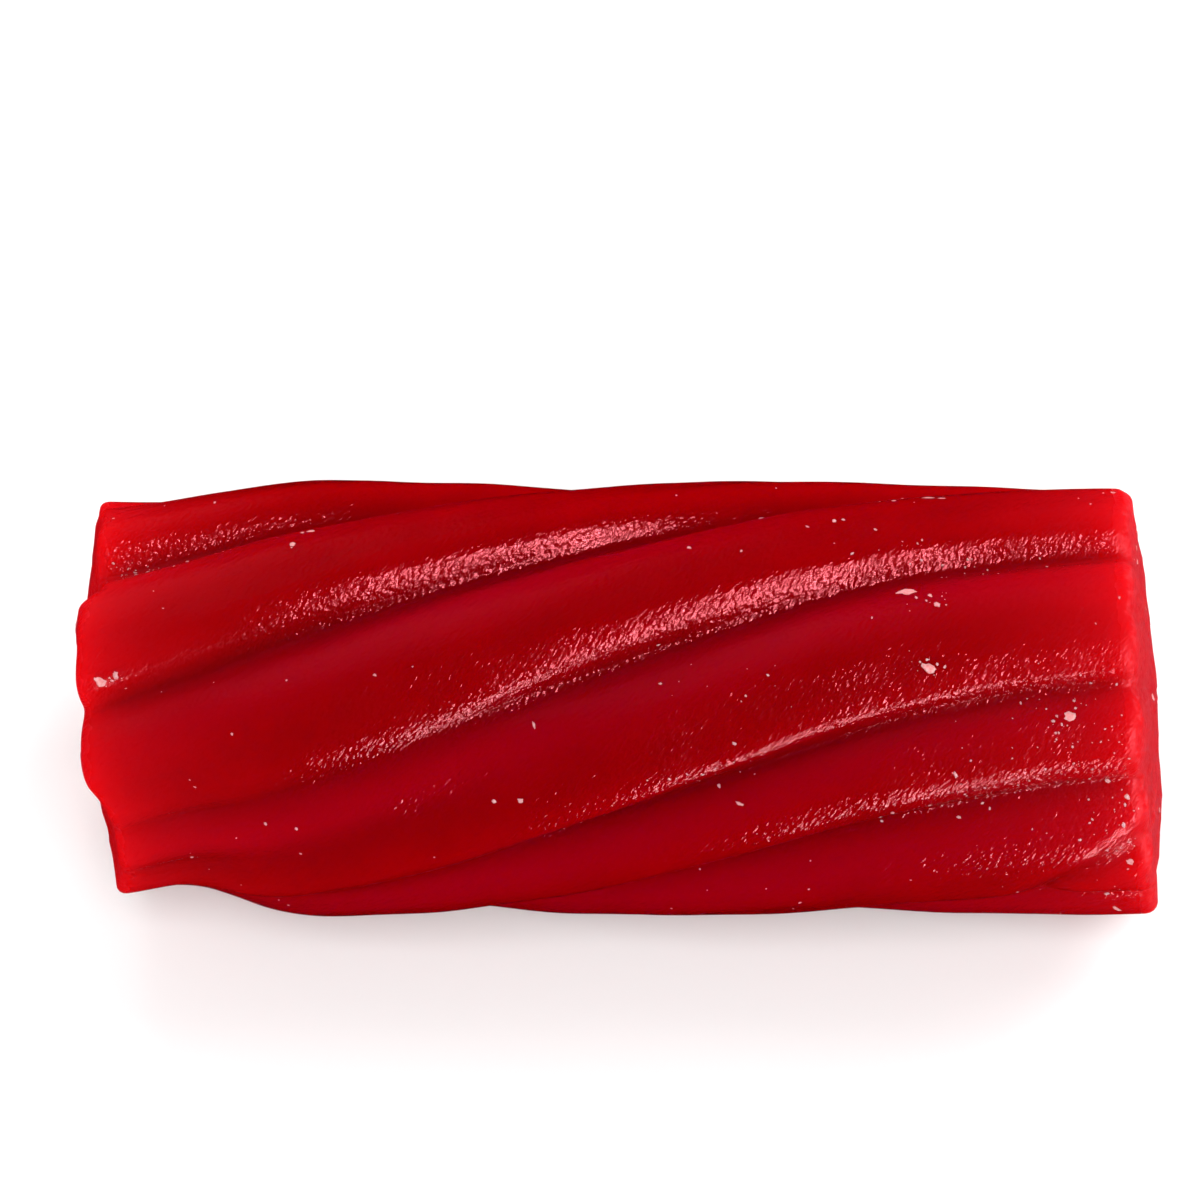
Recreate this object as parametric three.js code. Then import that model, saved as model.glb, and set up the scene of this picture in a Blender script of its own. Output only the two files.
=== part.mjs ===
import * as THREE from "three";

// One chopped piece of a soft red licorice twist, lying on its side.
// Lengths are millimetres and angles degrees. The stick runs along X, and Z is up.
// Angles round the stick start at the front (-Y) and grow over the top to the back.

// Body
const halfLength = 19.6; // from the middle to each cut, along the twist's axis
const crestRadius = 8.25; // from the axis to the top of a ridge
const sag = 0.25; // how far the section hangs off the twist's axis
const sagAngle = -29; // the way it hangs: down and to the front
const restDepth = 7.95; // from the axis down to the flattened underside

// Twist: an even left-hand twist that dies away towards the right-hand cut
const twistRate = 2.85; // degrees a millimetre
const twistFadesFrom = 6; // x where it starts to die away
const twistEndsAt = 20; // x where none is left

// Ridges: one lies between each groove and the next. A groove's angle is the one at the middle of the
// stick, and its drift is in degrees a millimetre on top of the twist. Left and right are the shares of
// the depth at the ends, where a groove is shallower there.
const upperPower = 1.9; // a ridge's upper side is round, 2 being a plain curve
const lowerPower = 4.2; // and its lower side stays flat for longer, then drops steeply
const grooveFrom = 0.86; // the groove's rounded bottom starts this far down a ridge's side
const grooves = [
  { angle: 157, drift: -0.15, depth: 1.4 },
  { angle: 114, drift: 0.2, depth: 1.3 },
  { angle: 69, drift: 0.1, depth: 1.2, left: 0.5 },
  { angle: 25, drift: 0.1, depth: 1.1, left: 0.4, right: 0.7 },
  { angle: -7, drift: 0.35, depth: 1.25, right: 0.75 },
  { angle: -51, drift: 0.2, depth: 1.1 },
  { angle: -87, drift: 0, depth: 1.1 },
  { angle: -122, drift: 0, depth: 1.1 },
  { angle: -158, drift: 0, depth: 1.1 },
];

// Creases: shorter valleys that run between the grooves and fade out from x = full to x = gone
const creases = [
  { angle: 50, drift: 0.4, depth: 0.45, halfWidth: 15, full: -8, gone: 0 },
  { angle: -130, drift: 5.85, depth: 0.35, halfWidth: 11, full: 16.5, gone: 13.5 },
];

// Ends: the left one is slimmer, with a waist under it. Each cut leans and bulges a little, and the
// left one steps in where the knife dragged two of the ridges back.
const taper = 0.65;
const taperFrom = -11;
const taperTo = -19.5;
const waist = { x: -15.8, halfLength: 2.2, depth: 0.6 };
const leftCut = { shift: 0.15, perY: -0.025, perZ: -0.048, bulge: -0.3 };
const leftSteps = [
  { from: 89, full: 96, until: 118, gone: 150, depth: 0.55 },
  { from: 37, full: 22, until: -12, gone: -32, depth: 0.75 },
];
const rightCut = { shift: 0.3, perY: 0.006, perZ: -0.145, bulge: 0.6 };
const rimRadius = 0.4;

// Fineness of the facets
const stepsPerRidge = 12;
const stations = 38;
const rimSteps = 2;
const faceShares = [0, 0.5, 0.8];

const { clamp, degToRad, lerp, radToDeg, smoothstep } = THREE.MathUtils;

function cosine(degrees) {
  return Math.cos(degToRad(degrees));
}

// How far the twist has turned the section at x.
function twistAt(x) {
  const fade = twistEndsAt - twistFadesFrom;
  const into = clamp(x - twistFadesFrom, 0, fade);
  return twistRate * (Math.min(x, twistEndsAt) - into ** 2 / (2 * fade));
}

function angleAt(valley, x) {
  return valley.angle + valley.drift * x + twistAt(x);
}

function grooveDepth(groove, x) {
  const onLeft = lerp(groove.left ?? 1, 1, smoothstep(x, -8, 0));
  const onRight = lerp(1, groove.right ?? 1, smoothstep(x, 4, 12));
  return groove.depth * onLeft * onRight;
}

// What a crease takes off the radius at an angle and x.
function creaseDepth(crease, angle, x) {
  const along = (x - crease.gone) / (crease.full - crease.gone);
  const off = Math.abs(angle - angleAt(crease, x)) / crease.halfWidth;
  return crease.depth * smoothstep(along, 0, 1) * (0.5 + 0.5 * cosine(180 * Math.min(off, 1)));
}

// What the slimmer left end takes off the radius.
function endDepth(angle, x) {
  const under = Math.max(0, cosine(angle - sagAngle));
  const inWaist = Math.exp(-(((x - waist.x) / waist.halfLength) ** 2));
  return taper * smoothstep(-x, -taperFrom, -taperTo) + waist.depth * under * inWaist;
}

// 0 on a ridge's crest and 1 in the groove, whose bottom is rounded.
function groovedBy(across) {
  const power = across < 0 ? upperPower : lowerPower;
  const away = Math.abs(across);
  const slope = power * grooveFrom ** (power - 1);
  const bottom = grooveFrom ** power + (slope * (1 - grooveFrom)) / 2;
  const into = Math.max(0, away - grooveFrom);
  const eased = slope * (into - into ** 2 / (2 * (1 - grooveFrom)));
  return (Math.min(away, grooveFrom) ** power + eased) / bottom;
}

// The point on the outside of a ridge: across runs from -1 at its first groove to 1 at its second.
function outsidePoint(ridge, across, x) {
  const first = grooves[ridge];
  const last = ridge === grooves.length - 1;
  const second = last ? grooves[0] : grooves[ridge + 1];
  const secondAngle = angleAt(second, x) - (last ? 360 : 0);
  const angle = lerp(angleAt(first, x), secondAngle, (across + 1) / 2);
  const depth = grooveDepth(across < 0 ? first : second, x);
  let radius = crestRadius + sag * cosine(angle - sagAngle) - endDepth(angle, x);
  radius -= depth * groovedBy(across);
  creases.forEach((crease) => {
    radius -= creaseDepth(crease, angle, x);
  });
  const turn = degToRad(angle);
  return new THREE.Vector3(x, -radius * Math.cos(turn), radius * Math.sin(turn));
}

// How far one leaning, bulging cut moves a point along X.
function cutShift(cut, point, share) {
  return cut.shift + cut.perY * point.y + cut.perZ * point.z + cut.bulge * (1 - share ** 2);
}

// How far the left-hand cut steps in at an angle round the stick.
function stepIn(degrees, share) {
  const depths = leftSteps.map((step) => {
    const starts = smoothstep((degrees - step.from) / (step.full - step.from), 0, 1);
    const stays = smoothstep((degrees - step.gone) / (step.until - step.gone), 0, 1);
    return step.depth * starts * stays;
  });
  return (depths[0] + depths[1]) * smoothstep(share, 0.5, 1);
}

// How far both cuts together move a point along X.
function shiftAlong(point, x, share) {
  const degrees = radToDeg(Math.atan2(point.z, -point.y));
  const left = cutShift(leftCut, point, share) + stepIn(degrees, share);
  return lerp(left, cutShift(rightCut, point, share), (x + halfLength) / (2 * halfLength));
}

// The profile of a plain round rod with rounded rims, from its left-hand cut to its right-hand one.
function rodProfile() {
  const left = faceShares.map((share) => new THREE.Vector2(share * crestRadius, -halfLength));
  for (let step = 0; step <= rimSteps; step += 1) {
    const turn = (step / rimSteps) * (Math.PI / 2);
    const inset = rimRadius * (1 - Math.sin(turn));
    const back = rimRadius * (1 - Math.cos(turn));
    left.push(new THREE.Vector2(crestRadius - inset, back - halfLength));
  }
  const right = left.map((point) => new THREE.Vector2(point.x, -point.y)).reverse();
  const body = [];
  const straight = halfLength - rimRadius;
  for (let station = 1; station < stations; station += 1) {
    body.push(new THREE.Vector2(crestRadius, lerp(-straight, straight, station / stations)));
  }
  return [...left, ...body, ...right];
}

// Moves each point of the round rod to its place on the fluted, twisted stick.
function flute(geometry) {
  const position = geometry.getAttribute("position");
  const point = new THREE.Vector3();
  for (let index = 0; index < position.count; index += 1) {
    point.fromBufferAttribute(position, index);
    const x = point.y;
    const share = Math.hypot(point.x, point.z) / crestRadius;
    const around = (Math.atan2(point.x, point.z) / (2 * Math.PI) + 1) % 1;
    const ridgesAround = Math.round(around * grooves.length * stepsPerRidge) / stepsPerRidge;
    const ridge = Math.floor(ridgesAround) % grooves.length;
    const across = 2 * (ridgesAround - Math.floor(ridgesAround)) - 1;
    const straightUp = outsidePoint(ridge, across, x).multiplyScalar(share);
    const shift = shiftAlong(straightUp, x, share);
    const placed = outsidePoint(ridge, across, x + shift);
    const z = Math.max(placed.z * share, -restDepth);
    position.setXYZ(index, x + shift, placed.y * share, z);
  }
  geometry.computeVertexNormals();
  return geometry;
}

function candyMaterial() {
  return new THREE.MeshStandardMaterial({ color: 0xa8060f, roughness: 0.35, metalness: 0 });
}

// The stick, with its underside on the ground and its box centred on the origin.
function licoriceStick() {
  const rod = new THREE.LatheGeometry(rodProfile(), grooves.length * stepsPerRidge);
  const geometry = flute(rod);
  geometry.computeBoundingBox();
  const middle = geometry.boundingBox.getCenter(new THREE.Vector3());
  const mesh = new THREE.Mesh(geometry, candyMaterial());
  mesh.name = "licorice_stick";
  mesh.position.set(-middle.x, -middle.y, restDepth);
  return mesh;
}

const licorice = new THREE.Group();
licorice.add(licoriceStick());

export default licorice;
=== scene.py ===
import math
import random

import bmesh
import bpy
from mathutils import Matrix, Quaternion, Vector, noise
from mathutils.bvhtree import BVHTree


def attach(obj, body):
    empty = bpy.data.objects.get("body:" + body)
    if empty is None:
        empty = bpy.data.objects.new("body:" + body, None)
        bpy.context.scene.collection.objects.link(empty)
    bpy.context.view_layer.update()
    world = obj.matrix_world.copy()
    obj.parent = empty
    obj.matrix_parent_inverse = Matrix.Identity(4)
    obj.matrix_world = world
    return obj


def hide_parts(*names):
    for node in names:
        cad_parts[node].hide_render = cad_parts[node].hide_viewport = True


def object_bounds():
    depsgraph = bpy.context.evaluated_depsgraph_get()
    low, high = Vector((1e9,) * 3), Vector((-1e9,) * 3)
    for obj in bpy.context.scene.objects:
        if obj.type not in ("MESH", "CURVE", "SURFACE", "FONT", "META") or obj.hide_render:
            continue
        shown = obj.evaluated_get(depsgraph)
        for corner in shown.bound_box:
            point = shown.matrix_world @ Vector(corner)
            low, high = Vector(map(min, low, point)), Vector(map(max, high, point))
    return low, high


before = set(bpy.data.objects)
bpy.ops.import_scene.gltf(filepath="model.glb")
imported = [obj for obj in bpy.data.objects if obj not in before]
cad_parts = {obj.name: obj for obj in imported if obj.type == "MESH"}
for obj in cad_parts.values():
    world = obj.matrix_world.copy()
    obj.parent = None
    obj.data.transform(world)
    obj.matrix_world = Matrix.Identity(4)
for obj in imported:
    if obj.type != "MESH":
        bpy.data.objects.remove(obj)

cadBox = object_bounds()
mm = 0.001  # Blender's lengths are metres, the dictionaries below hold millimetres and degrees


def blend(low, high, share):
    return low + (high - low) * share


def ease(low, high, value):  # 0 at low, 1 at high, smooth between, and either may be the larger
    share = min(max((value - low) / (high - low), 0.0), 1.0)
    return share * share * (3 - 2 * share)


def hump(value, middle, halfWidth):  # a soft bell that is 1 at the middle
    return math.exp(-(((value - middle) / halfWidth) ** 2))


def hexColor(text):  # sRGB hex to the linear colour that a socket takes
    channels = [int(text[i:i + 2], 16) / 255 for i in (1, 3, 5)]
    linear = [c / 12.92 if c <= 0.04045 else ((c + 0.055) / 1.055) ** 2.4 for c in channels]
    return (*linear, 1.0)


def addNode(tree, kind, settings=None, inputs=None, links=None):
    node = tree.nodes.new(kind)
    for name, value in (settings or {}).items():
        setattr(node, name, value)
    for name, value in (inputs or {}).items():
        node.inputs[name].default_value = value
    for name, source in (links or {}).items():
        tree.links.new(source, node.inputs[name])
    return node


def newMaterial(name):
    material = bpy.data.materials.new(name)
    material.use_nodes = True
    material.node_tree.nodes.clear()
    return material, material.node_tree


def addPiece(name, bm, material):
    mesh = bpy.data.meshes.new(name)
    bm.to_mesh(mesh)
    bm.free()
    mesh.materials.append(material)
    piece = bpy.data.objects.new(name, mesh)
    bpy.context.scene.collection.objects.link(piece)
    return piece


# The twist. The stick runs along X. Angles round it start at the front (-Y) and grow over the top.

stick = {
    "halfLength": 19.6,       # middle to each cut, along the twist's axis
    "crestRadius": 8.25,      # axis to the top of a ridge
    "sag": 0.25,              # the section hangs this far off the axis
    "sagAngle": -29,          # down and to the front
    "restDepth": 7.95,        # axis down to the flattened underside
    "twistRate": 2.85,        # degrees a millimetre
    "twistFadesFrom": 6,
    "twistEndsAt": 20,
    "upperPower": 1.9,        # each ridge's upper side is round, 2 being a plain curve
    "lowerPower": 4.2,        # and its lower side drops more steeply into the groove
    "grooveFrom": 0.86,       # the groove's rounded bottom starts this far down a ridge's side
    "taper": 0.65,            # the left end is slimmer by this much
    "taperFrom": -11,
    "taperTo": -19.5,
    "waistAt": -15.8,         # a dip under the left end
    "waistHalfLength": 2.2,
    "waistDepth": 0.6,
    "rimRadius": 0.4,
    "leftShare": (-8, 0),     # a groove's left share holds up to the first x and is gone by the second
    "rightShare": (4, 12),    # and its right share grows from the first x to the second
    "columnsPerRidge": 46,
    "stations": 208,
    "rimSteps": 4,
    "faceRings": 9,
}
grooves = [  # from the top back, over the front and round underneath, with the angle at the stick's middle
    {"angle": 157, "drift": -0.15, "depth": 1.4},
    {"angle": 114, "drift": 0.2, "depth": 1.3},
    {"angle": 69, "drift": 0.1, "depth": 1.2, "left": 0.5},
    {"angle": 25, "drift": 0.1, "depth": 1.1, "left": 0.4, "right": 0.7, "steep": 7},
    {"angle": -7, "drift": 0.35, "depth": 1.25, "right": 0.75, "steep": 2.5},
    {"angle": -51, "drift": 0.2, "depth": 1.1},
    {"angle": -87, "drift": 0, "depth": 1.1},
    {"angle": -122, "drift": 0, "depth": 1.1},
    {"angle": -158, "drift": 0, "depth": 1.1},
]
creases = [  # short valleys between the grooves, deep at full and gone at gone
    {"angle": 50, "drift": 0.4, "depth": 0.45, "halfWidth": 15, "full": -8, "gone": 0},
    {"angle": -130, "drift": 5.85, "depth": 0.35, "halfWidth": 11, "full": 16.5, "gone": 13.5},
]
cuts = {  # each leans and bulges, and steps in where the knife dragged a ridge back
    "left": {
        "shift": 0.15, "perY": -0.025, "perZ": -0.048, "bulge": -0.3,
        "steps": [
            {"from": 89, "full": 96, "until": 118, "gone": 150, "depth": 0.55},
            {"from": 37, "full": 22, "until": -12, "gone": -32, "depth": 0.75},
        ],
    },
    "right": {"shift": 0.3, "perY": 0.006, "perZ": -0.145, "bulge": 0.6, "steps": []},
}


def cosine(degrees):
    return math.cos(math.radians(degrees))


def twistAt(x):
    fade = stick["twistEndsAt"] - stick["twistFadesFrom"]
    into = min(max(x - stick["twistFadesFrom"], 0), fade)
    return stick["twistRate"] * (min(x, stick["twistEndsAt"]) - into ** 2 / (2 * fade))


def angleAt(valley, x):
    return valley["angle"] + valley["drift"] * x + twistAt(x)


def creaseDepth(crease, angle, x):
    off = abs(angle - angleAt(crease, x)) / crease["halfWidth"]
    if off >= 1:
        return 0.0
    return crease["depth"] * ease(crease["gone"], crease["full"], x) * (0.5 + 0.5 * cosine(180 * off))


def endDepth(angle, x):
    under = max(0.0, cosine(angle - stick["sagAngle"]))
    waist = stick["waistDepth"] * under * hump(x, stick["waistAt"], stick["waistHalfLength"])
    return waist + stick["taper"] * ease(stick["taperFrom"], stick["taperTo"], x)


def groovedBy(across, lowerPower):  # 0 on the crest and 1 in the groove, whose bottom is rounded
    power = stick["upperPower"] if across < 0 else lowerPower
    away, start = abs(across), stick["grooveFrom"]
    slope = power * start ** (power - 1)
    bottom = start ** power + slope * (1 - start) / 2
    if away < start:
        return away ** power / bottom
    into = away - start
    return (start ** power + slope * (into - into ** 2 / (2 * (1 - start)))) / bottom


def outside(ridge, across, x):  # (angle, radius), with across -1 at the ridge's first groove, 1 at its second
    last = ridge == len(grooves) - 1
    first, second = grooves[ridge], grooves[0] if last else grooves[ridge + 1]
    angle = blend(angleAt(first, x), angleAt(second, x) - (360 if last else 0), (across + 1) / 2)
    groove = first if across < 0 else second
    depth = groove["depth"] * blend(groove.get("left", 1), 1, ease(*stick["leftShare"], x))
    depth *= blend(1, groove.get("right", 1), ease(*stick["rightShare"], x))
    radius = stick["crestRadius"] + stick["sag"] * cosine(angle - stick["sagAngle"]) - endDepth(angle, x)
    radius -= depth * groovedBy(across, groove.get("steep", stick["lowerPower"]))
    radius -= sum(creaseDepth(crease, angle, x) for crease in creases)
    return angle, radius


def stepIn(steps, angle):  # how far the knife's steps push a cut in at this angle
    turn = (angle + 180) % 360 - 180
    return sum(
        step["depth"] * ease(step["from"], step["full"], turn) * ease(step["gone"], step["until"], turn)
        for step in steps
    )


def cutShift(angle, radius, x, share):  # the uneven cuts move a point along X
    y, z = onSection(angle, radius * share)
    rightness = (x + stick["halfLength"]) / (2 * stick["halfLength"])
    shifts = [
        cut["shift"] + cut["perY"] * y + cut["perZ"] * z + cut["bulge"] * (1 - share ** 2)
        + stepIn(cut["steps"], angle) * ease(0.5, 1, share)
        for cut in cuts.values()
    ]
    return blend(shifts[0], shifts[1], rightness)


def onSection(angle, radius):
    turn = math.radians(angle)
    return -radius * math.cos(turn), radius * math.sin(turn)


def rodProfile():  # (radius, x) of a round rod from just inside one cut's middle to the other's
    radius, half, rim = stick["crestRadius"], stick["halfLength"], stick["rimRadius"]
    rings, rimSteps = stick["faceRings"], stick["rimSteps"]
    left = [((i + 1) / (rings + 1) * (radius - rim), -half) for i in range(rings)]
    for step in range(rimSteps + 1):
        turn = step / rimSteps * math.pi / 2
        left.append((radius - rim * (1 - math.sin(turn)), rim * (1 - math.cos(turn)) - half))
    straight = half - rim
    steps = stick["stations"]
    body = [(radius, blend(-straight, straight, i / steps)) for i in range(1, steps)]
    return left + body + [(r, -x) for r, x in reversed(left)]


def makeRod():  # a round rod by extruding one ring, with both ends closed on their middles
    bm = bmesh.new()
    columns = stick["columnsPerRidge"] * len(grooves)
    profile = rodProfile()
    radius, x = profile[0]
    toAxis = Matrix.Rotation(math.pi / 2, 4, "Y")
    ring = bmesh.ops.create_circle(bm, segments=columns, radius=radius, cap_ends=False)["verts"]
    bmesh.ops.transform(bm, matrix=Matrix.Translation((x, 0, 0)) @ toAxis, verts=ring)
    edges = list({edge for vert in ring for edge in vert.link_edges})
    firstRing = list(edges)
    for nextRadius, nextX in profile[1:]:
        made = bmesh.ops.extrude_edge_only(bm, edges=edges)["geom"]
        ring = [g for g in made if isinstance(g, bmesh.types.BMVert)]
        edges = [g for g in made if isinstance(g, bmesh.types.BMEdge)]
        grow = nextRadius / radius
        bmesh.ops.scale(bm, vec=(1, grow, grow), verts=ring)
        bmesh.ops.translate(bm, vec=(nextX - x, 0, 0), verts=ring)
        radius, x = nextRadius, nextX
    for rim, middle in ((firstRing, -stick["halfLength"]), (edges, stick["halfLength"])):
        made = bmesh.ops.extrude_edge_only(bm, edges=rim)["geom"]
        ring = [g for g in made if isinstance(g, bmesh.types.BMVert)]
        bmesh.ops.pointmerge(bm, verts=ring, merge_co=(middle, 0, 0))
    bmesh.ops.recalc_face_normals(bm, faces=bm.faces)
    return bm


relief = {
    "waveHeight": 0.07, "waveLength": 3.2,  # soft handling waves
    "streakHeight": 0.02, "streakWidth": 0.5, "streakLength": 9.0,  # drawn along the ridges
    "skinFrom": 0.7,  # the share of the radius where the skin's relief starts
    "dents": [  # x, angle round the section, half sizes along and round in mm, depth
        {"x": 13.6, "angle": 46, "along": 2.6, "round": 1.3, "depth": 0.14},
        {"x": 16.9, "angle": 52, "along": 1.1, "round": 0.8, "depth": 0.1},
        {"x": 8.6, "angle": 106, "along": 1.6, "round": 0.9, "depth": 0.08},
    ],
    "dragHeight": 0.05, "dragWidth": 0.35, "dragLength": 5.0,  # fine knife lines across the cuts
    "tearHeight": 0.12, "tearWidth": 1.6,
    "faceUntil": (0.86, 0.97),  # the shares of the radius between which those two fade out
    "nickHeight": 0.16, "nickWidth": 1.3, "nickReach": 0.9,  # uneven rims
    "nickFrom": 0.6,
}


def reliefAt(x, angle, turned, radius):  # what the fine relief adds to the radius
    y, z = onSection(turned, radius)  # the place before the twist, so streaks follow the ridges
    spot = Vector((x, y, z))
    height = relief["waveHeight"] * noise.noise(spot / relief["waveLength"])
    streak = Vector((x / relief["streakLength"], y / relief["streakWidth"], z / relief["streakWidth"]))
    height += relief["streakHeight"] * noise.noise(streak + Vector((11, 0, 0)))
    for dent in relief["dents"]:
        along = (x - dent["x"]) / dent["along"]
        across = math.radians(angle - dent["angle"]) * radius / dent["round"]
        reach = math.exp(-(along ** 2 + across ** 2))
        height -= dent["depth"] * reach
    return height


def cutRelief(y, z, side, toCut, share):  # knife lines and small tears on a cut, and its uneven rim
    drag = noise.noise(Vector((y / relief["dragWidth"], z / relief["dragLength"], 9 * side)))
    tear = noise.noise(Vector((y / relief["tearWidth"], z / relief["tearWidth"], 5 * side)))
    nick = noise.noise(Vector((y / relief["nickWidth"], z / relief["nickWidth"], 7 * side)))
    onFace = 1 - ease(*relief["faceUntil"], share)
    onRim = hump(toCut, 0, relief["nickReach"]) * ease(relief["nickFrom"], 1, share)
    shift = onFace * (relief["dragHeight"] * drag + relief["tearHeight"] * tear)
    return side * (shift + relief["nickHeight"] * nick * onRim)


shading = {  # what the material reads from the mesh
    "strokeRate": 5.0,  # degrees a millimetre that the skin's fine strokes wind round
    "glowReach": 3.0,   # how far in from a cut the painted glow reaches
    "sheenAt": -0.6, "sheenHalfWidth": 0.42,  # where the painted sheen lies on each ridge, on the scale of across
    "scuffReach": 0.45, "scuffOnLeft": 0.35,  # how far in the rims are rubbed, less on the left
}


def turnBack(x, y, z, rate):  # the point turned back about the stick, by this many degrees a millimetre of x
    turn = math.radians(rate * x)
    return Vector((x, y * math.cos(turn) - z * math.sin(turn), y * math.sin(turn) + z * math.cos(turn)))


def makeTwist(material):
    bm = makeRod()
    columns = stick["columnsPerRidge"] * len(grooves)
    untwisted = bm.verts.layers.float_vector.new("untwisted")
    strokes = bm.verts.layers.float_vector.new("strokes")
    paintedCutGlow = bm.verts.layers.float.new("paintedCutGlow")
    paintedSheenMask = bm.verts.layers.float.new("paintedSheenMask")
    scuffed = bm.verts.layers.float.new("scuffed")
    for vert in bm.verts:
        x = vert.co.x
        reach = math.hypot(vert.co.y, vert.co.z)
        share = reach / stick["crestRadius"]
        around = (math.atan2(-vert.co.z, vert.co.y) / (2 * math.pi)) % 1
        ridges = round(around * columns) / stick["columnsPerRidge"]
        ridge = int(ridges) % len(grooves)
        across = 2 * (ridges - int(ridges)) - 1
        angle, radius = outside(ridge, across, x)
        toCut = stick["halfLength"] - abs(x)
        shift = cutShift(angle, radius, x, share)
        angle, radius = outside(ridge, across, x + shift)
        turned = angle - twistAt(x + shift)
        lift = reliefAt(x + shift, angle, turned, radius) * ease(relief["skinFrom"], 1.0, share)
        y, z = onSection(angle, (radius + lift) * share)
        side = -1 if x < 0 else 1
        if toCut < 3 * relief["nickReach"]:
            shift += cutRelief(y, z, side, toCut, share)
        z = max(z, -stick["restDepth"])
        vert[untwisted] = Vector((x + shift, *onSection(turned, radius * share))) * mm
        vert[strokes] = turnBack(x + shift, y, z, shading["strokeRate"]) * mm
        # painted glow: a mask that fades in from each cut
        vert[paintedCutGlow] = math.exp(-toCut / shading["glowReach"])
        # painted sheen: a mask over each ridge's upper side
        vert[paintedSheenMask] = hump(across, shading["sheenAt"], shading["sheenHalfWidth"])
        vert[scuffed] = hump(toCut, 0, shading["scuffReach"]) * (1 if x > 0 else shading["scuffOnLeft"])
        vert.co = Vector((x + shift, y, z)) * mm
    low = Vector([min(v.co[i] for v in bm.verts) for i in range(3)])
    high = Vector([max(v.co[i] for v in bm.verts) for i in range(3)])
    cadMiddle = (cadBox[0] + cadBox[1]) / 2
    move = Vector((*(cadMiddle - (low + high) / 2).xy, cadBox[0].z - low.z))
    bmesh.ops.translate(bm, vec=move, verts=bm.verts)
    for face in bm.faces:
        face.smooth = True
    piece = addPiece("licorice_twist", bm, material)
    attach(piece, "root")
    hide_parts("licorice_stick")
    return piece, move


candy = {
    "red": "#900006", "deepRed": "#7c0004",  # the mottled body
    "paintedSheen": "#8c0011",     # painted sheen: the ridges' upper sides tinted as if they mirrored light from above
    "paintedGlowRed": "#b80c16",      # painted glow near the cuts, as if lit through them
    "rubbedRed": "#c83a44",   # on the rims
    "radius": (5.0, 0.3, 0.22),  # mm that red, green and blue light travel inside
    "anisotropy": 0.3,
    "ior": 1.65,              # above sugar's 1.5, to match its strong shine
    "tint": (1.0, 0.2, 0.25, 1.0),
    "mottle": 3.0,            # widths and heights in mm
    "streakWidth": 0.4, "streakStretch": 0.06, "streakHeight": 0.05, "streakStrength": 0.25,
    "strokeWidth": 0.18, "strokeStretch": 0.9, "strokeHeight": 0.046,
    "patch": 0.7, "patchLow": 0.3, "patchHigh": 0.7,  # glossier and duller patches
    "roughLow": 0.08, "roughHigh": 0.2,
    "roughAtCut": 0.35, "roughFull": 0.6,  # added where it is scuffed, in full from this much
    "rubbedGrain": 0.22, "rubbedFrom": 0.38, "rubbedFull": 0.6, "rubbedMost": 0.7,
}


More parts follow.
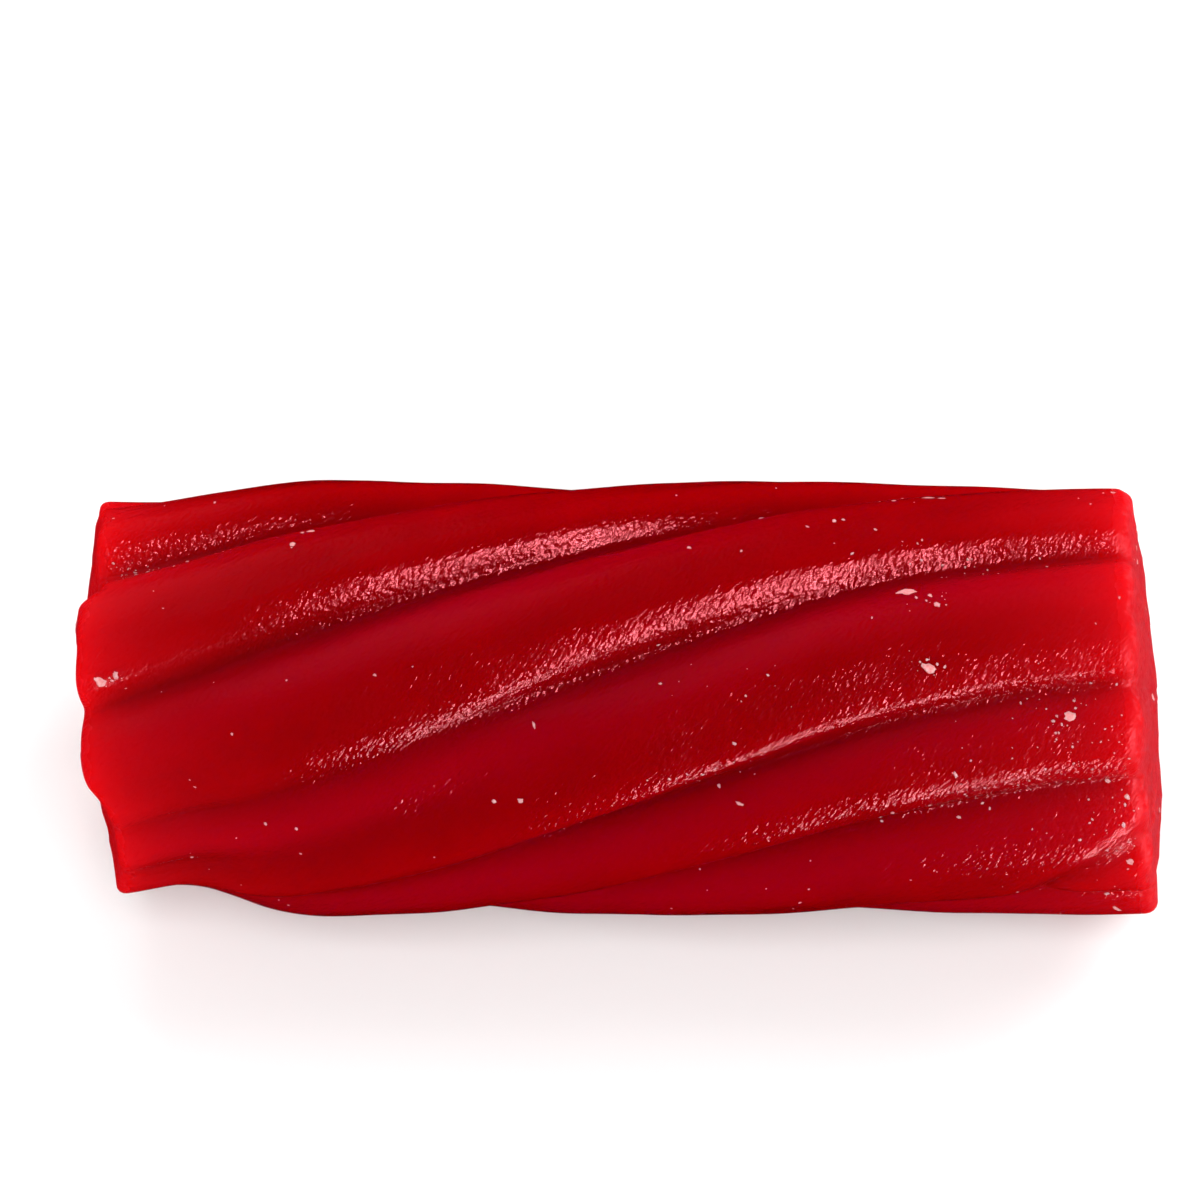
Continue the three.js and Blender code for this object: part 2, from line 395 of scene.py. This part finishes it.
def softCandy():
    # Soft red licorice: extruded wheat-flour and sugar dough, glazed with a little oil. It is a deep red
    # that light sinks into, so thin edges glow, helped near the cuts by a glow painted into the colour, with
    # a satin skin whose gloss breaks into fine sparkle.
    material, tree = newMaterial("soft_red_licorice")
    place = addNode(tree, "ShaderNodeTexCoord").outputs["Object"]
    follows = addNode(tree, "ShaderNodeAttribute", {"attribute_name": "untwisted"}).outputs["Vector"]
    winds = addNode(tree, "ShaderNodeAttribute", {"attribute_name": "strokes"}).outputs["Vector"]
    paintedCutGlow = addNode(tree, "ShaderNodeAttribute", {"attribute_name": "paintedCutGlow"}).outputs["Fac"]
    mottle = addNode(
        tree, "ShaderNodeTexNoise", inputs={"Scale": 1 / (candy["mottle"] * mm), "Detail": 5.0},
        links={"Vector": place},
    )
    alongRidges = addNode(
        tree, "ShaderNodeMapping", inputs={"Scale": (candy["streakStretch"], 1, 1)},
        links={"Vector": follows},
    )
    streaks = addNode(
        tree, "ShaderNodeTexNoise", inputs={"Scale": 1 / (candy["streakWidth"] * mm), "Detail": 3.0},
        links={"Vector": alongRidges.outputs["Vector"]},
    )
    tone = addNode(
        tree, "ShaderNodeMix", {"data_type": "RGBA"},
        {"A": hexColor(candy["deepRed"]), "B": hexColor(candy["red"])}, {"Factor": mottle.outputs["Fac"]},
    )
    # painted sheen: each ridge's upper side is tinted crimson, as if it mirrored light from above
    paintedSheenMask = addNode(tree, "ShaderNodeAttribute", {"attribute_name": "paintedSheenMask"}).outputs["Fac"]
    sheenPainted = addNode(
        tree, "ShaderNodeMix", {"data_type": "RGBA"}, {"B": hexColor(candy["paintedSheen"])},
        {"A": tone.outputs[2], "Factor": paintedSheenMask},
    )
    # painted glow: the colour is painted lighter near the cuts, as if light came through them
    glowPainted = addNode(
        tree, "ShaderNodeMix", {"data_type": "RGBA"}, {"B": hexColor(candy["paintedGlowRed"])},
        {"A": sheenPainted.outputs[2], "Factor": paintedCutGlow},
    )
    windsRound = addNode(
        tree, "ShaderNodeMapping", inputs={"Scale": (candy["strokeStretch"], 1, 1)},
        links={"Vector": winds},
    )
    strokes = addNode(
        tree, "ShaderNodeTexNoise", inputs={"Scale": 1 / (candy["strokeWidth"] * mm), "Detail": 1.5},
        links={"Vector": windsRound.outputs["Vector"]},
    )
    patches = addNode(
        tree, "ShaderNodeTexNoise", inputs={"Scale": 1 / (candy["patch"] * mm), "Detail": 3.0},
        links={"Vector": place},
    )
    rough = addNode(
        tree, "ShaderNodeMapRange",
        inputs={
            "From Min": candy["patchLow"], "From Max": candy["patchHigh"],
            "To Min": candy["roughLow"], "To Max": candy["roughHigh"],
        },
        links={"Value": patches.outputs["Fac"]},
    )
    scuffed = addNode(tree, "ShaderNodeAttribute", {"attribute_name": "scuffed"}).outputs["Fac"]
    grain = addNode(
        tree, "ShaderNodeTexNoise", inputs={"Scale": 1 / (candy["rubbedGrain"] * mm), "Detail": 4.0},
        links={"Vector": place},
    )
    rubbing = addNode(
        tree, "ShaderNodeMath", {"operation": "MULTIPLY"}, links={0: scuffed, 1: grain.outputs["Fac"]},
    )
    rubbed = addNode(
        tree, "ShaderNodeMapRange",
        inputs={
            "From Min": candy["rubbedFrom"], "From Max": candy["rubbedFull"], "To Max": candy["rubbedMost"],
        },
        links={"Value": rubbing.outputs["Value"]},
    )
    paled = addNode(
        tree, "ShaderNodeMix", {"data_type": "RGBA"}, {"B": hexColor(candy["rubbedRed"])},
        {"A": glowPainted.outputs[2], "Factor": rubbed.outputs["Result"]},
    )
    roughAtCut = addNode(
        tree, "ShaderNodeMapRange",
        inputs={"From Max": candy["roughFull"], "To Min": 0.0, "To Max": candy["roughAtCut"]},
        links={"Value": scuffed},
    )
    allRough = addNode(
        tree, "ShaderNodeMath", {"operation": "ADD"},
        links={0: rough.outputs["Result"], 1: roughAtCut.outputs["Result"]},
    )
    streakBump = addNode(
        tree, "ShaderNodeBump",
        inputs={"Strength": candy["streakStrength"], "Distance": candy["streakHeight"] * mm},
        links={"Height": streaks.outputs["Fac"]},
    )
    strokeBump = addNode(
        tree, "ShaderNodeBump", inputs={"Strength": 1.0, "Distance": candy["strokeHeight"] * mm},
        links={"Height": strokes.outputs["Fac"], "Normal": streakBump.outputs["Normal"]},
    )
    shader = addNode(
        tree, "ShaderNodeBsdfPrincipled",
        inputs={
            "Subsurface Weight": 1.0,
            "Subsurface Radius": candy["radius"],
            "Subsurface Scale": mm,
            "Subsurface Anisotropy": candy["anisotropy"],
            "IOR": candy["ior"],
            "Specular Tint": candy["tint"],
        },
        links={
            "Base Color": paled.outputs[2],
            "Roughness": allRough.outputs["Value"],
            "Normal": strokeBump.outputs["Normal"],
        },
    )
    addNode(tree, "ShaderNodeOutputMaterial", links={"Surface": shader.outputs["BSDF"]})
    return material


flecks = {
    "onSkin": [  # sugar crumbs: x and angle, length and width in mm, turn of the length from the stick's own
        (10.6, 91.7, 0.78, 0.46, 0), (11.25, 68.2, 0.62, 0.34, 35), (-18.85, 65.0, 0.46, 0.36, 30),
        (-18.3, 67.0, 0.34, 0.22, 80), (-3.55, 33.3, 0.24, 0.2, 0), (-4.5, 32.7, 0.18, 0.16, 0),
        (-11.95, 104.6, 0.26, 0.22, 50), (-17.85, 106.6, 0.22, 0.15, 80), (-15.9, 105.9, 0.2, 0.13, 60),
        (-11.35, 111.6, 0.32, 0.18, 10), (-11.65, 111.3, 0.16, 0.14, 0), (11.6, 85.5, 0.3, 0.24, 20),
        (11.4, 89.0, 0.22, 0.14, 70), (12.25, 40.6, 0.28, 0.14, 60), (10.05, 28.1, 0.26, 0.14, 70),
        (12.5, 24.9, 0.18, 0.14, 0), (18.85, 12.4, 0.36, 0.26, 20), (8.0, 113.7, 0.2, 0.18, 0),
        (8.35, 114.2, 0.16, 0.14, 0), (7.0, 110.9, 0.18, 0.12, 40), (3.7, 34.2, 0.22, 0.14, 60),
        (-3.05, 53.0, 0.34, 0.1, 75), (-8.8, 66.3, 0.14, 0.12, 0), (-12.9, 24.3, 0.16, 0.12, 40),
        (-11.75, 24.0, 0.16, 0.12, 60), (4.45, 31.3, 0.34, 0.14, 20), (18.6, 32.1, 0.3, 0.2, 70),
        (17.9, 36.0, 0.3, 0.18, 60), (18.5, 25.0, 0.22, 0.14, 80), (16.4, 55.7, 0.5, 0.36, 0),
        (11.6, 127.1, 0.5, 0.12, 5), (12.1, 126.6, 0.3, 0.1, 0), (18.9, -22.0, 0.5, 0.2, 55),
    ],
    "scattered": 190, "smallest": 0.05, "largest": 0.15, "longest": 1.7,
    "crowding": 0.75, "crowdShift": 0.25, "edge": 0.6,  # below 1 they crowd to the ends, most on the right
    "clusters": [  # x, angle, half sizes along and round in mm, and how many
        (16.3, 54, 1.6, 1.3, 34), (14.3, 41, 2.8, 1.1, 26), (17.7, 38, 1.1, 2.6, 30),
        (18.4, 20, 0.8, 3.0, 26), (11.4, 69, 0.7, 0.5, 10), (11.6, 87, 0.8, 0.4, 10),
        (-18.6, 66, 0.6, 0.5, 10), (3.0, 40, 1.4, 0.4, 12), (-17.9, 109, 1.2, 0.6, 26),
        (12.0, 104, 3.5, 0.6, 20), (5.0, 66, 2.5, 0.8, 12),
    ],
    "clusterSmallest": 0.035, "clusterLargest": 0.11, "clusterLongest": 1.8, "clusterEdge": 0.3,
    "spread": 0.6,       # of a cluster's half sizes, for the bell that its crumbs fall in
    "onCuts": 46, "cutSmallest": 0.07, "cutLargest": 0.42, "cutLength": 1.4, "cutReach": 0.86,
    "plain": 0.2,        # mm, and a shorter crumb has fewer faces
    "cleanUnder": 0.3,   # mm above the ground
    "thickness": 0.45,   # of the width
    "sunk": 0.3,         # of the thickness
    "jitter": 0.3,
}


def makeFlecks(material, twist, axisMiddle):
    rng = random.Random(41)
    surface = BVHTree.FromObject(twist, bpy.context.evaluated_depsgraph_get())
    bm = bmesh.new()

    def addFleck(start, direction, length, width, turn):
        spot, normal, _, _ = surface.ray_cast(start, direction)
        if spot is None or spot.z < flecks["cleanUnder"] * mm:
            return
        detail = 1 if length < flecks["plain"] else 2
        made = bmesh.ops.create_icosphere(bm, subdivisions=detail, radius=0.5)["verts"]
        for vert in made:
            vert.co *= 1 + rng.uniform(-flecks["jitter"], flecks["jitter"])
        along = Vector((1, 0, 0)) - normal * normal.x
        if along.length < 0.5:
            along = Vector((0, 0, 1)) - normal * normal.z
        along.normalize()
        along.rotate(Quaternion(normal, math.radians(turn)))
        thick = width * flecks["thickness"]
        axes = Matrix((along * length, normal.cross(along) * width, normal * thick)).transposed() * mm
        centre = spot + normal * thick * (0.5 - flecks["sunk"]) * mm
        bmesh.ops.transform(bm, matrix=Matrix.Translation(centre) @ axes.to_4x4(), verts=made)

    for x, angle, length, width, turn in flecks["onSkin"]:
        y, z = onSection(angle, 1)
        addFleck(axisMiddle + Vector((x, 0, 0)) * mm, Vector((0, y, z)), length, width, turn)
    for _ in range(flecks["scattered"]):
        x = rng.uniform(-1, 1)
        x = math.copysign(abs(x) ** flecks["crowding"], x + flecks["crowdShift"])
        x *= stick["halfLength"] - flecks["edge"]
        y, z = onSection(rng.uniform(0, 360), 1)
        size = blend(flecks["smallest"], flecks["largest"], rng.random() ** 2)
        length = size * rng.uniform(1, flecks["longest"])
        addFleck(axisMiddle + Vector((x, 0, 0)) * mm, Vector((0, y, z)), length, size, rng.uniform(0, 180))
    for x, angle, along, around, count in flecks["clusters"]:
        for _ in range(count):
            turn = math.degrees(rng.gauss(0, flecks["spread"]) * around / stick["crestRadius"])
            y, z = onSection(angle + turn, 1)
            size = blend(flecks["clusterSmallest"], flecks["clusterLargest"], rng.random() ** 2)
            atX = x + rng.gauss(0, flecks["spread"]) * along
            atX = min(atX, stick["halfLength"] - flecks["clusterEdge"])
            length = size * rng.uniform(1, flecks["clusterLongest"])
            start = axisMiddle + Vector((atX, 0, 0)) * mm
            addFleck(start, Vector((0, y, z)), length, size, rng.uniform(0, 180))
    for index in range(flecks["onCuts"]):
        side = 1 if index % 2 else -1
        reach = stick["crestRadius"] * math.sqrt(rng.random()) * flecks["cutReach"]
        y, z = onSection(rng.uniform(0, 360), reach)
        size = blend(flecks["cutSmallest"], flecks["cutLargest"], rng.random() ** 3)
        start = axisMiddle + Vector((25 * side, y, z)) * mm  # from outside the cut, back towards it
        addFleck(start, Vector((-side, 0, 0)), size * flecks["cutLength"], size, rng.uniform(0, 180))
    bmesh.ops.recalc_face_normals(bm, faces=bm.faces)
    piece = addPiece("candy_flecks", bm, material)
    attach(piece, "root")
    return piece


crumb = {"low": "#d8505a", "high": "#f6b4b0", "grain": 0.12, "height": 0.03, "radius": (0.5, 0.15, 0.12)}
card = {"white": "#f4f4f4", "tooth": 1.2, "height": 0.05}


def sugarCrumb():
    # Dried sugar and dough crumbs: small matt grains, pink because the red below soaks into them.
    material, tree = newMaterial("pink_sugar_crumb")
    place = addNode(tree, "ShaderNodeTexCoord").outputs["Object"]
    grain = addNode(
        tree, "ShaderNodeTexNoise", inputs={"Scale": 1 / (crumb["grain"] * mm), "Detail": 3.0},
        links={"Vector": place},
    )
    tone = addNode(
        tree, "ShaderNodeMix", {"data_type": "RGBA"},
        {"A": hexColor(crumb["low"]), "B": hexColor(crumb["high"])}, {"Factor": grain.outputs["Fac"]},
    )
    bump = addNode(
        tree, "ShaderNodeBump", inputs={"Strength": 0.6, "Distance": crumb["height"] * mm},
        links={"Height": grain.outputs["Fac"]},
    )
    shader = addNode(
        tree, "ShaderNodeBsdfPrincipled",
        inputs={
            "Roughness": 0.4, "Subsurface Weight": 0.6, "Subsurface Radius": crumb["radius"],
            "Subsurface Scale": mm,
        },
        links={"Base Color": tone.outputs[2], "Normal": bump.outputs["Normal"]},
    )
    addNode(tree, "ShaderNodeOutputMaterial", links={"Surface": shader.outputs["BSDF"]})
    return material


def palePaper():
    # Matt coated card: smooth and nearly white, with a faint tooth.
    material, tree = newMaterial("matt_white_card")
    place = addNode(tree, "ShaderNodeTexCoord").outputs["Object"]
    tooth = addNode(
        tree, "ShaderNodeTexNoise", inputs={"Scale": 1 / (card["tooth"] * mm), "Detail": 4.0},
        links={"Vector": place},
    )
    bump = addNode(
        tree, "ShaderNodeBump", inputs={"Strength": 0.05, "Distance": card["height"] * mm},
        links={"Height": tooth.outputs["Fac"]},
    )
    shader = addNode(
        tree, "ShaderNodeBsdfPrincipled", inputs={"Base Color": hexColor(card["white"]), "Roughness": 0.8},
        links={"Normal": bump.outputs["Normal"]},
    )
    addNode(tree, "ShaderNodeOutputMaterial", links={"Surface": shader.outputs["BSDF"]})
    return material


studio = {
    "floorSize": 3000,
    "elevation": 61,      # the camera looks this far down
    "distance": 170,      # from the twist's axis
    "frameWidth": 45.63,  # width of the picture at the axis
    "axisLeft": 0.65,     # the picture's middle is this far left of the stick's
    "axisBelow": 3.48,    # the axis lies this far under the picture's middle
    "sensor": 36,
    "skyLight": 0.5,
    "skySeen": 0.9,       # the sky as the camera sees it, behind the floor
}
strip = {"distance": 300}
wide = {"distance": 380, "width": 250, "height": 250}
softboxes = [  # angles seen from the camera: to its right, and up over the stick; sizes and distance in mm
    {"name": "gloss_low", "right": 34, "up": -60, "power": 0.66, **strip, "width": 19, "height": 280},
    {"name": "gloss_middle", "right": 40, "up": -16, "power": 0.72, **strip, "width": 20, "height": 230},
    {"name": "gloss_high", "right": 27, "up": -2, "power": 0.15, **strip, "width": 12, "height": 60},
    {"name": "gloss_top", "right": -20, "up": 75, "power": 0.05, **wide, "height": 450},
    {"name": "gloss_ground", "right": 20, "up": -84, "power": 0.3, **strip, "width": 24, "height": 190},
    {"name": "front", "right": 0, "up": 0, "power": 1.05, **wide},
    {"name": "top_right", "right": 35, "up": 60, "power": 0.8, **wide},
    {"name": "back", "right": 0, "up": 105, "power": 1.4, **wide},
    {"name": "low_left", "right": -60, "up": -35, "power": 0.5, **wide},
    {"name": "low_right", "right": 55, "up": -40, "power": 0.5, **wide},
]


def seenFrom(right, up):  # a direction from the stick, by the camera's own angles
    tilt = math.radians(studio["elevation"])
    towards = Vector((0, -math.cos(tilt), math.sin(tilt)))
    above = Vector((0, math.sin(tilt), math.cos(tilt)))
    aside, over = math.radians(right), math.radians(up)
    upright = math.cos(over) * towards + math.sin(over) * above
    return Vector((math.sin(aside), 0, 0)) + math.cos(aside) * upright


def addFloor():
    bm = bmesh.new()
    bmesh.ops.create_grid(bm, x_segments=1, y_segments=1, size=studio["floorSize"] / 2 * mm)
    floor = addPiece("floor", bm, palePaper())
    floor.visible_glossy = False  # the stick's gloss mirrors the lights alone


def addLights(target):
    for box in softboxes:
        light = bpy.data.lights.new(box["name"], "AREA")
        light.shape = "RECTANGLE"
        light.size, light.size_y = box["width"] * mm, box["height"] * mm
        light.energy = box["power"]
        holder = bpy.data.objects.new(box["name"], light)
        glossy = box["name"].startswith("gloss")
        holder.visible_glossy = glossy  # thin strips draw the highlights and wide boxes light the colour
        holder.visible_diffuse = not glossy
        bpy.context.scene.collection.objects.link(holder)
        direction = seenFrom(box["right"], box["up"])
        holder.location = target + direction * box["distance"] * mm
        over = seenFrom(0, box["up"] + 90)  # the way that the box's height runs
        holder.rotation_euler = Matrix((over.cross(direction), over, direction)).transposed().to_euler()
    world = bpy.data.worlds.new("studio")
    world.use_nodes = True
    sky = world.node_tree
    sky.nodes.clear()
    seen = addNode(sky, "ShaderNodeLightPath").outputs["Is Camera Ray"]
    level = addNode(
        sky, "ShaderNodeMapRange", inputs={"To Min": studio["skyLight"], "To Max": studio["skySeen"]},
        links={"Value": seen},
    )
    glow = addNode(sky, "ShaderNodeBackground", links={"Strength": level.outputs["Result"]})
    addNode(sky, "ShaderNodeOutputWorld", links={"Surface": glow.outputs["Background"]})
    bpy.context.scene.world = world
    world.cycles_visibility.glossy = False  # the sky lights the colour only, as the wide boxes do
    bpy.context.scene.view_settings.view_transform = "Standard"


def addCamera(axisMiddle):
    towards, above = seenFrom(0, 0), seenFrom(0, 90)
    aim = axisMiddle + above * studio["axisBelow"] * mm - Vector((studio["axisLeft"] * mm, 0, 0))
    data = bpy.data.cameras.new("camera")
    data.sensor_width = studio["sensor"]
    data.lens = studio["sensor"] * studio["distance"] / studio["frameWidth"]
    data.clip_start, data.clip_end = 0.01, 10
    camera = bpy.data.objects.new("camera", data)
    bpy.context.scene.collection.objects.link(camera)
    camera.location = aim + towards * studio["distance"] * mm
    camera.rotation_euler = towards.to_track_quat("Z", "Y").to_euler()
    bpy.context.scene.camera = camera


twist, axisMiddle = makeTwist(softCandy())
print("twist made:", len(twist.data.polygons), "faces")
crumbs = makeFlecks(sugarCrumb(), twist, axisMiddle)
print("flecks made:", len(crumbs.data.polygons), "faces")
addFloor()
addLights(axisMiddle)
addCamera(axisMiddle)
print("floor, lights and camera placed")
